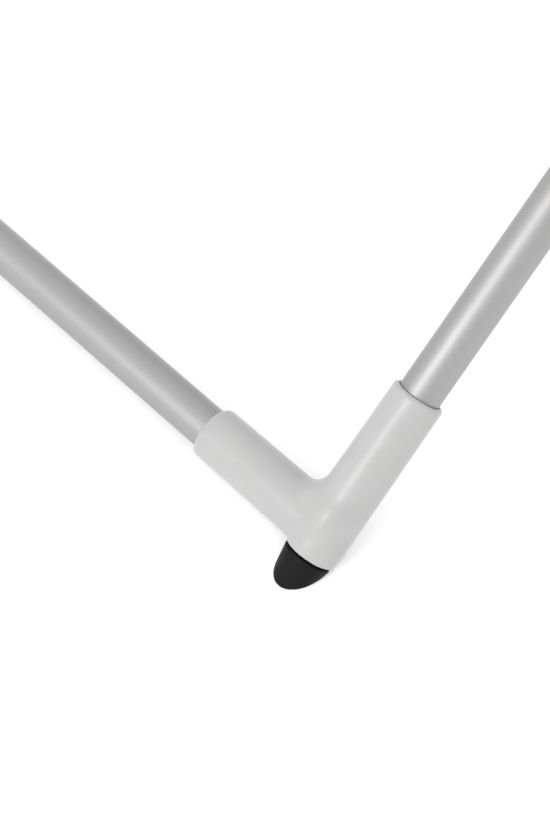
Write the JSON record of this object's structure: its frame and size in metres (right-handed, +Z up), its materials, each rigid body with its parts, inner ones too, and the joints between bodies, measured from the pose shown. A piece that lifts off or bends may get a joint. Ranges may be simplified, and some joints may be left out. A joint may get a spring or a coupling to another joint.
{
  "type": "rotary clothesline",
  "caption": "Free-standing rotary clothesline: folding tube stand, rotating mast head, folding arms and square rings of line.",
  "frame": {"origin": "on the floor, under the mast, at the centre of the opened object's footprint", "axes": "+Z up the mast, +Y along the foot bars, X across the stand, from the outer frame's feet at -X to the inner frame's at +X"},
  "size_m": [1.6836, 1.6836, 1.8695],
  "materials": {
    "anodised_tube": "satin anodised",
    "grey_plastic": "moulded, slight satin sheen",
    "black_rubber": "matt moulded rubber",
    "black_plastic": "fine moulded texture",
    "steel": "bright zinc plated",
    "line": "PVC coated line"
  },
  "bodies": {
    "mast": {"mast_tube": "anodised_tube", "mast_foot": "black_rubber", "base_collar": "grey_plastic", "trunnion_pin": "steel", "mast_bush": "grey_plastic", "mast_bearing": "grey_plastic"},
    "stay_a": {"stay_bars_a": "anodised_tube", "stay_ends_a": "grey_plastic"},
    "frame_a": {"legs_a": "anodised_tube", "foot_bar_a": "anodised_tube", "foot_corners_a": "grey_plastic", "foot_caps_a": "black_rubber", "mid_tees_a": "grey_plastic", "mid_bar_a": "anodised_tube", "top_tees_a": "grey_plastic"},
    "collar": {"stand_collar": "grey_plastic", "axle_tubes": "anodised_tube", "axle_caps": "black_rubber"},
    "knob": {"collar_knob": "black_plastic"},
    "stay_b": {"stay_bars_b": "anodised_tube", "stay_ends_b": "grey_plastic"},
    "frame_b": {"legs_b": "anodised_tube", "foot_bar_b": "anodised_tube", "foot_corners_b": "grey_plastic", "foot_caps_b": "black_rubber", "mid_tees_b": "grey_plastic", "mid_bar_b": "anodised_tube", "top_tees_b": "grey_plastic"},
    "head": {"head_tube": "anodised_tube", "head_cap": "grey_plastic", "cap_pins": "steel", "head_pivot": "grey_plastic"},
    "slider": {"arm_slider": "grey_plastic", "slider_pins": "steel"},
    "catch": {"slider_catch": "black_plastic"},
    "strut_1": {"strut_bars_1": "anodised_tube", "strut_pin_1": "steel"},
    "arm_1": {"arm_tube_1": "anodised_tube", "arm_root_1": "grey_plastic", "arm_fittings_1": "grey_plastic", "lines_1": "line"},
    "strut_2": {"strut_bars_2": "anodised_tube", "strut_pin_2": "steel"},
    "arm_2": {"arm_tube_2": "anodised_tube", "arm_root_2": "grey_plastic", "arm_fittings_2": "grey_plastic", "lines_2": "line"},
    "strut_3": {"strut_bars_3": "anodised_tube", "strut_pin_3": "steel"},
    "arm_3": {"arm_tube_3": "anodised_tube", "arm_root_3": "grey_plastic", "arm_fittings_3": "grey_plastic", "lines_3": "line"},
    "strut_4": {"strut_bars_4": "anodised_tube", "strut_pin_4": "steel"},
    "arm_4": {"arm_tube_4": "anodised_tube", "arm_root_4": "grey_plastic", "arm_fittings_4": "grey_plastic", "lines_4": "line"}
  },
  "joints": [
    {"name": "stand_fold", "type": "hinge", "parent": "mast", "child": "stay_a", "pos_m": [0, 0, 0.015], "axis": [0, 1, 0], "range_deg": [0, 44.5]},
    {"name": "frame_a_turn", "type": "hinge", "parent": "stay_a", "child": "frame_a", "pos_m": [-0.28895, 0, 0.26179], "axis": [0, 1, 0], "range_deg": [-89, 0]},
    {"name": "collar_turn", "type": "hinge", "parent": "frame_a", "child": "collar", "pos_m": [0, 0, 0.50858], "axis": [0, 1, 0], "range_deg": [0, 44.5]},
    {"name": "stay_b_turn", "type": "hinge", "parent": "mast", "child": "stay_b", "pos_m": [0, 0, 0.015], "axis": [0, -1, 0], "range_deg": [0, 44.5]},
    {"name": "frame_b_turn", "type": "hinge", "parent": "stay_b", "child": "frame_b", "pos_m": [0.28895, 0, 0.26179], "axis": [0, -1, 0], "range_deg": [-89, 0]},
    {"name": "knob_turn", "type": "hinge", "parent": "collar", "child": "knob", "pos_m": [0.046, 0, 0.50858], "axis": [1, 0, 0], "range_deg": [0, 360]},
    {"name": "head_spin", "type": "hinge", "parent": "mast", "child": "head", "pos_m": [0, 0, 1], "axis": [0, 0, 1], "continuous": true},
    {"name": "head_fold", "type": "hinge", "parent": "head", "child": "strut_1", "pos_m": [0.02404, 0.02404, 1.66], "axis": [-0.7071, 0.7071, 0], "range_deg": [0, 67]},
    {"name": "arm_1_turn", "type": "hinge", "parent": "strut_1", "child": "arm_1", "pos_m": [0.21234, 0.21234, 1.57347], "axis": [-0.7071, 0.7071, 0], "range_deg": [-134, 0], "deforming": ["lines_1"]},
    {"name": "strut_2_turn", "type": "hinge", "parent": "head", "child": "strut_2", "pos_m": [-0.02404, 0.02404, 1.66], "axis": [-0.7071, -0.7071, 0], "range_deg": [0, 67]},
    {"name": "arm_2_turn", "type": "hinge", "parent": "strut_2", "child": "arm_2", "pos_m": [-0.21234, 0.21234, 1.57347], "axis": [-0.7071, -0.7071, 0], "range_deg": [-134, 0], "deforming": ["lines_2"]},
    {"name": "strut_3_turn", "type": "hinge", "parent": "head", "child": "strut_3", "pos_m": [-0.02404, -0.02404, 1.66], "axis": [0.7071, -0.7071, 0], "range_deg": [0, 67]},
    {"name": "arm_3_turn", "type": "hinge", "parent": "strut_3", "child": "arm_3", "pos_m": [-0.21234, -0.21234, 1.57347], "axis": [0.7071, -0.7071, 0], "range_deg": [-134, 0], "deforming": ["lines_3"]},
    {"name": "strut_4_turn", "type": "hinge", "parent": "head", "child": "strut_4", "pos_m": [0.02404, -0.02404, 1.66], "axis": [0.7071, 0.7071, 0], "range_deg": [0, 67]},
    {"name": "arm_4_turn", "type": "hinge", "parent": "strut_4", "child": "arm_4", "pos_m": [0.21234, -0.21234, 1.57347], "axis": [0.7071, 0.7071, 0], "range_deg": [-134, 0], "deforming": ["lines_4"]},
    {"name": "slider_turn", "type": "hinge", "parent": "arm_1", "child": "slider", "pos_m": [0.02404, 0.02404, 1.48695], "axis": [-0.7071, 0.7071, 0], "range_deg": [0, 67]},
    {"name": "catch_press", "type": "hinge", "parent": "slider", "child": "catch", "pos_m": [0, -0.0265, 1.46895], "axis": [1, 0, 0], "range_deg": [0, 12], "stiffness_Nm_per_rad": 0.6, "springref_deg": -5.73}
  ],
  "couplings": [
    {"joint": "frame_a_turn", "follows": "stand_fold", "ratio": -2},
    {"joint": "collar_turn", "follows": "stand_fold", "ratio": 1},
    {"joint": "stay_b_turn", "follows": "stand_fold", "ratio": 1},
    {"joint": "frame_b_turn", "follows": "stand_fold", "ratio": -2},
    {"joint": "arm_1_turn", "follows": "head_fold", "ratio": -2},
    {"joint": "strut_2_turn", "follows": "head_fold", "ratio": 1},
    {"joint": "arm_2_turn", "follows": "head_fold", "ratio": -2},
    {"joint": "strut_3_turn", "follows": "head_fold", "ratio": 1},
    {"joint": "arm_3_turn", "follows": "head_fold", "ratio": -2},
    {"joint": "strut_4_turn", "follows": "head_fold", "ratio": 1},
    {"joint": "arm_4_turn", "follows": "head_fold", "ratio": -2},
    {"joint": "slider_turn", "follows": "head_fold", "ratio": 1}
  ]
}
